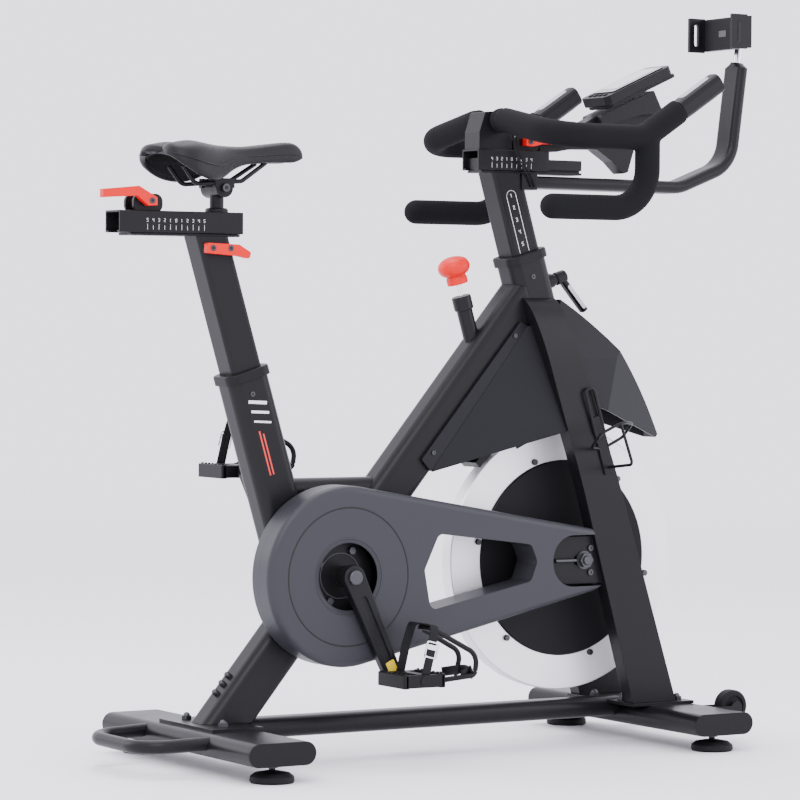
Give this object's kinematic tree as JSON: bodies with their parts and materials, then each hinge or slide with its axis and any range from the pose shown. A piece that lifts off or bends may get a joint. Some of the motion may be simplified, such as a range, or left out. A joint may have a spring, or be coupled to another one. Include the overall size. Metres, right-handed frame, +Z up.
{
  "type": "indoor cycling bike",
  "caption": "Upright indoor cycling bike with a belt-driven flywheel, adjustable saddle and multi-grip handlebar, toe-cage pedals, console, phone holder and levelling feet.",
  "frame": {"origin": "on the floor, under the middle of the bike's length and width", "axes": "+X forward towards the flywheel and handlebar, +Y to the rider's left, +Z up"},
  "size_m": [1.2351, 0.491, 1.221],
  "materials": {
    "frame_paint": "satin black powder coat",
    "cover_plastic": "fine-grained dark grey",
    "black_plastic": "matt black",
    "foam": "matt foam",
    "rubber": "matt",
    "saddle_cover": "soft black synthetic",
    "bright_steel": "polished",
    "machined_steel": "turned",
    "zinc_fasteners": "dark zinc",
    "red_plastic": "gloss red",
    "silver_paint": "satin",
    "screen_plastic": "gloss with a pale screen"
  },
  "bodies": {
    "frame": {"main_tube": "frame_paint", "seat_tube": "frame_paint", "head_tube": "frame_paint", "fork_leg_right": "frame_paint", "fork_leg_left": "frame_paint", "base_beam": "frame_paint", "rear_stabiliser": "frame_paint", "front_stabiliser": "frame_paint", "rear_handle": "frame_paint", "plastic_caps": "black_plastic", "frame_fasteners": "zinc_fasteners", "belt_cover_outer": "cover_plastic", "belt_cover_inner": "cover_plastic", "side_cover_right": "cover_plastic", "side_cover_left": "cover_plastic", "front_shroud": "cover_plastic", "drive_belt": "rubber", "crank_bearings": "machined_steel", "flywheel_axle": "machined_steel", "bottle_cage": "frame_paint"},
    "crank": {"crank_axle": "machined_steel", "crank_pulley": "frame_paint", "crank_arm_right": "frame_paint", "crank_arm_left": "frame_paint", "crank_fittings": "zinc_fasteners"},
    "right_pedal": {"pedal_right": "black_plastic"},
    "left_pedal": {"pedal_left": "black_plastic"},
    "flywheel": {"flywheel": "machined_steel", "flywheel_covers": "cover_plastic", "flywheel_pulley": "silver_paint", "flywheel_bearings": "machined_steel"},
    "seat_post": {"seat_post": "frame_paint"},
    "seat_slide": {"seat_slider": "frame_paint", "saddle_post": "frame_paint"},
    "saddle": {"saddle": "saddle_cover", "saddle_rails": "frame_paint"},
    "seat_slide_lever": {"seat_slide_lever": "red_plastic"},
    "seat_height_lever": {"seat_height_lever": "red_plastic"},
    "handlebar_post": {"handlebar_post": "frame_paint", "phone_arm": "frame_paint"},
    "handlebar": {"handlebar_slider": "frame_paint", "handlebar_tube": "frame_paint", "handlebar_grips": "foam", "console": "screen_plastic", "console_cradle": "black_plastic", "sensor_leads": "rubber"},
    "handlebar_lever": {"handlebar_lever": "red_plastic"},
    "phone_rod": {"phone_rod": "bright_steel"},
    "phone_clamp": {"phone_clamp": "black_plastic"},
    "phone_jaw": {"phone_jaw": "black_plastic"},
    "brake_rod": {"brake_rod": "bright_steel"},
    "resistance_knob": {"resistance_knob": "red_plastic"},
    "magnet_caliper": {"magnet_caliper": "frame_paint"},
    "head_clamp_lever": {"head_clamp_lever": "frame_paint"},
    "wheel_right": {"transport_wheel_right": "rubber"},
    "wheel_left": {"transport_wheel_left": "rubber"},
    "foot_rear_right": {"foot_rear_right": "rubber"},
    "foot_rear_left": {"foot_rear_left": "rubber"},
    "foot_front_right": {"foot_front_right": "rubber"},
    "foot_front_left": {"foot_front_left": "rubber"}
  },
  "joints": [
    {"name": "flywheel_spin", "type": "hinge", "parent": "frame", "child": "flywheel", "pos_m": [0.2385, 0, 0.3085], "axis": [0, 1, 0], "continuous": true},
    {"name": "crank_spin", "type": "hinge", "parent": "frame", "child": "crank", "pos_m": [-0.218, 0, 0.2965], "axis": [0, 1, 0], "continuous": true},
    {"name": "pedal_right_spin", "type": "hinge", "parent": "crank", "child": "right_pedal", "pos_m": [-0.14321, -0.16, 0.13829], "axis": [0, 1, 0], "continuous": true},
    {"name": "pedal_left_spin", "type": "hinge", "parent": "crank", "child": "left_pedal", "pos_m": [-0.29279, 0.16, 0.45471], "axis": [0, 1, 0], "continuous": true},
    {"name": "seat_height", "type": "slide", "parent": "frame", "child": "seat_post", "axis": [-0.2874, 0, 0.9578], "range_m": [-0.145, 0.06]},
    {"name": "seat_foreaft", "type": "slide", "parent": "seat_post", "child": "seat_slide", "axis": [1, 0, 0], "range_m": [-0.038, 0.06]},
    {"name": "saddle_tilt", "type": "hinge", "parent": "seat_slide", "child": "saddle", "pos_m": [-0.408, 0, 0.904], "axis": [0, 1, 0], "range_deg": [-10, 12]},
    {"name": "seat_slide_lever_turn", "type": "hinge", "parent": "seat_slide", "child": "seat_slide_lever", "pos_m": [-0.5366, 0, 0.881], "axis": [0, 1, 0], "range_deg": [0, 70]},
    {"name": "seat_height_lever_turn", "type": "hinge", "parent": "seat_post", "child": "seat_height_lever", "pos_m": [-0.4337, 0, 0.81], "axis": [0, 1, 0], "range_deg": [-35, 20]},
    {"name": "handlebar_height", "type": "slide", "parent": "frame", "child": "handlebar_post", "axis": [-0.2874, 0, 0.9578], "range_m": [-0.095, 0.04]},
    {"name": "handlebar_foreaft", "type": "slide", "parent": "handlebar_post", "child": "handlebar", "axis": [1, 0, 0], "range_m": [-0.009, 0.061]},
    {"name": "handlebar_lever_turn", "type": "hinge", "parent": "handlebar", "child": "handlebar_lever", "pos_m": [0.1596, 0, 0.994], "axis": [0, 1, 0], "range_deg": [-50, 0]},
    {"name": "head_clamp_turn", "type": "hinge", "parent": "frame", "child": "head_clamp_lever", "pos_m": [0.17511, 0, 0.75298], "axis": [0.9578, 0, 0.2874], "range_deg": [-40, 180]},
    {"name": "knob_push", "type": "slide", "parent": "frame", "child": "brake_rod", "axis": [0.2874, 0, -0.9578], "range_m": [0, 0.005], "stiffness_N_per_m": 2000, "springref_m": -0.002},
    {"name": "knob_turn", "type": "hinge", "parent": "brake_rod", "child": "resistance_knob", "pos_m": [0.0634, 0, 0.6796], "axis": [0.2874, 0, -0.9578], "range_deg": [0, 360]},
    {"name": "caliper_swing", "type": "hinge", "parent": "frame", "child": "magnet_caliper", "pos_m": [0.1767, 0, 0.56], "axis": [0, 1, 0], "range_deg": [-2, 2]},
    {"name": "phone_rod_turn", "type": "hinge", "parent": "handlebar_post", "child": "phone_rod", "pos_m": [0.6005, 0, 1.134], "axis": [0.1318, 0, 0.9913], "range_deg": [-90, 90]},
    {"name": "phone_clamp_tilt", "type": "hinge", "parent": "phone_rod", "child": "phone_clamp", "pos_m": [0.6055, 0, 1.191], "axis": [0, 1, 0], "range_deg": [-18, 25]},
    {"name": "phone_jaw_slide", "type": "slide", "parent": "phone_clamp", "child": "phone_jaw", "axis": [0, -1, 0], "range_m": [0, 0.03], "stiffness_N_per_m": 150, "springref_m": -0.01},
    {"name": "wheel_right_spin", "type": "hinge", "parent": "frame", "child": "wheel_right", "pos_m": [0.496, -0.138, 0.061], "axis": [0, 1, 0], "continuous": true},
    {"name": "wheel_left_spin", "type": "hinge", "parent": "frame", "child": "wheel_left", "pos_m": [0.496, 0.138, 0.061], "axis": [0, 1, 0], "continuous": true},
    {"name": "foot_rear_right_adjust", "type": "slide", "parent": "frame", "child": "foot_rear_right", "axis": [0, 0, 1], "range_m": [-0.012, 0.004]},
    {"name": "foot_rear_left_adjust", "type": "slide", "parent": "frame", "child": "foot_rear_left", "axis": [0, 0, 1], "range_m": [-0.012, 0.004]},
    {"name": "foot_front_right_adjust", "type": "slide", "parent": "frame", "child": "foot_front_right", "axis": [0, 0, 1], "range_m": [-0.012, 0.004]},
    {"name": "foot_front_left_adjust", "type": "slide", "parent": "frame", "child": "foot_front_left", "axis": [0, 0, 1], "range_m": [-0.012, 0.004]}
  ],
  "couplings": [
    {"joint": "crank_spin", "follows": "flywheel_spin", "ratio": 0.25}
  ]
}
